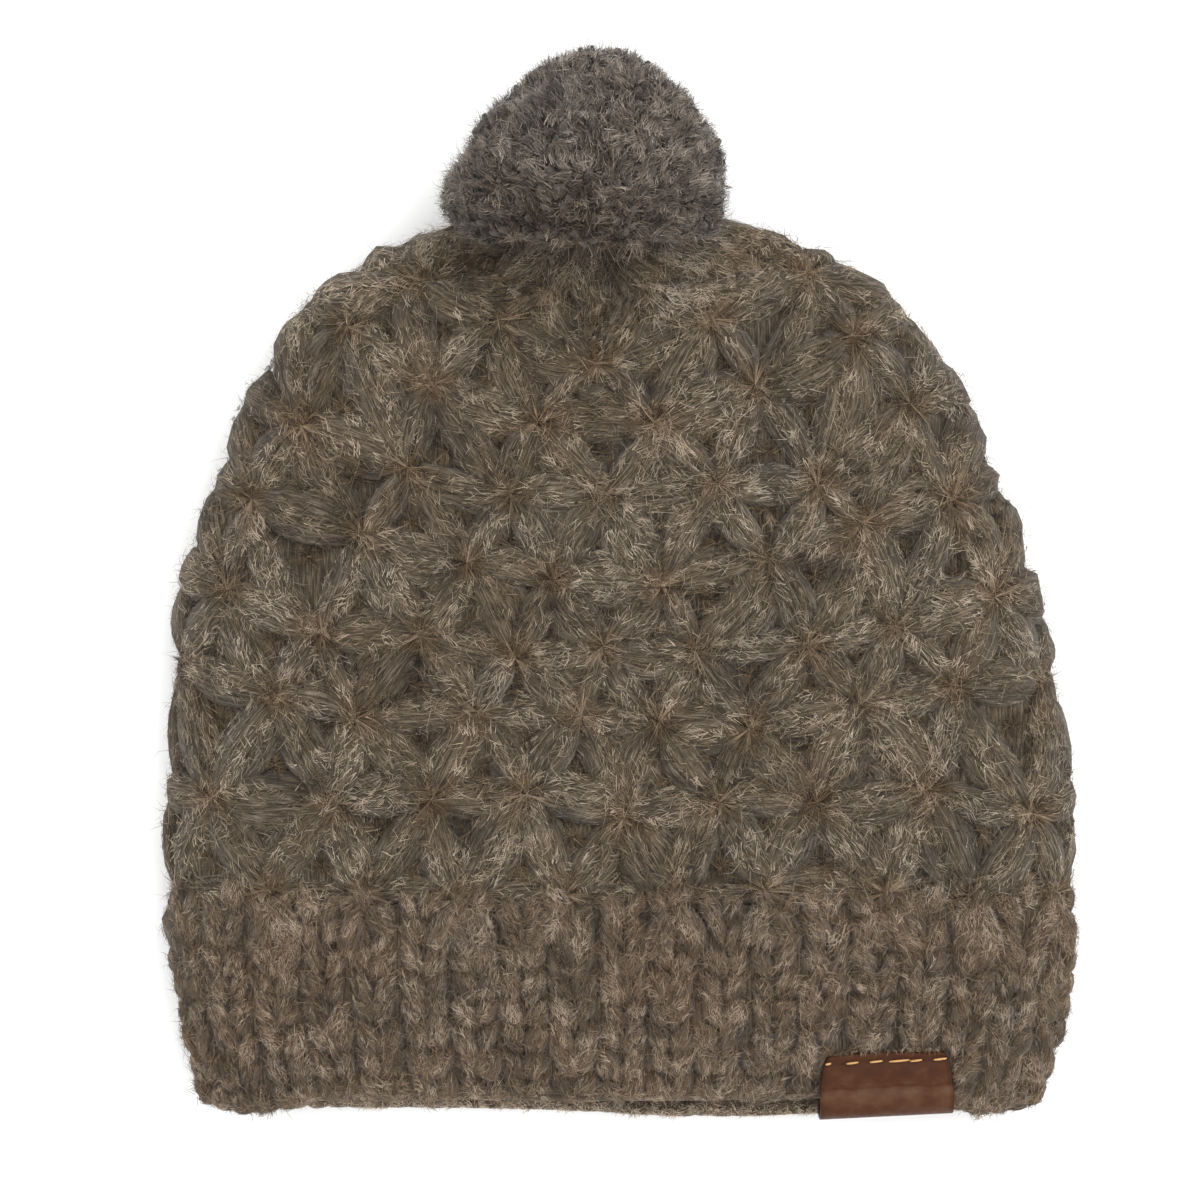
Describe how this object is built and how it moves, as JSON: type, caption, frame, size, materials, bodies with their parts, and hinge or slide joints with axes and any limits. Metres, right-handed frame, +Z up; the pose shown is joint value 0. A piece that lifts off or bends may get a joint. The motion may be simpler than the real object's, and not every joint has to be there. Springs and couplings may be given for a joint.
{
  "type": "knitted pompom beanie",
  "caption": "Chunky heathered wool beanie lying flat, with a star-stitch crown, ribbed band, yarn pompom and a bare leather tab folded over its rim.",
  "frame": {"origin": "centre of the hat's footprint on the table, at table height", "axes": "+Y from the rim to the pompom, +X to the label's side, +Z up from the table to the front of the hat"},
  "size_m": [0.2492, 0.29, 0.0719],
  "materials": {
    "wool": "fuzzy heathered wool",
    "band_wool": "fuzzy heathered wool",
    "pompom_wool": "cut wool yarn",
    "leather": "smooth waxed leather"
  },
  "bodies": {
    "root": {"crown": "wool", "rib_band": "band_wool", "pompom": "pompom_wool", "leather_label": "leather"}
  },
  "joints": []
}
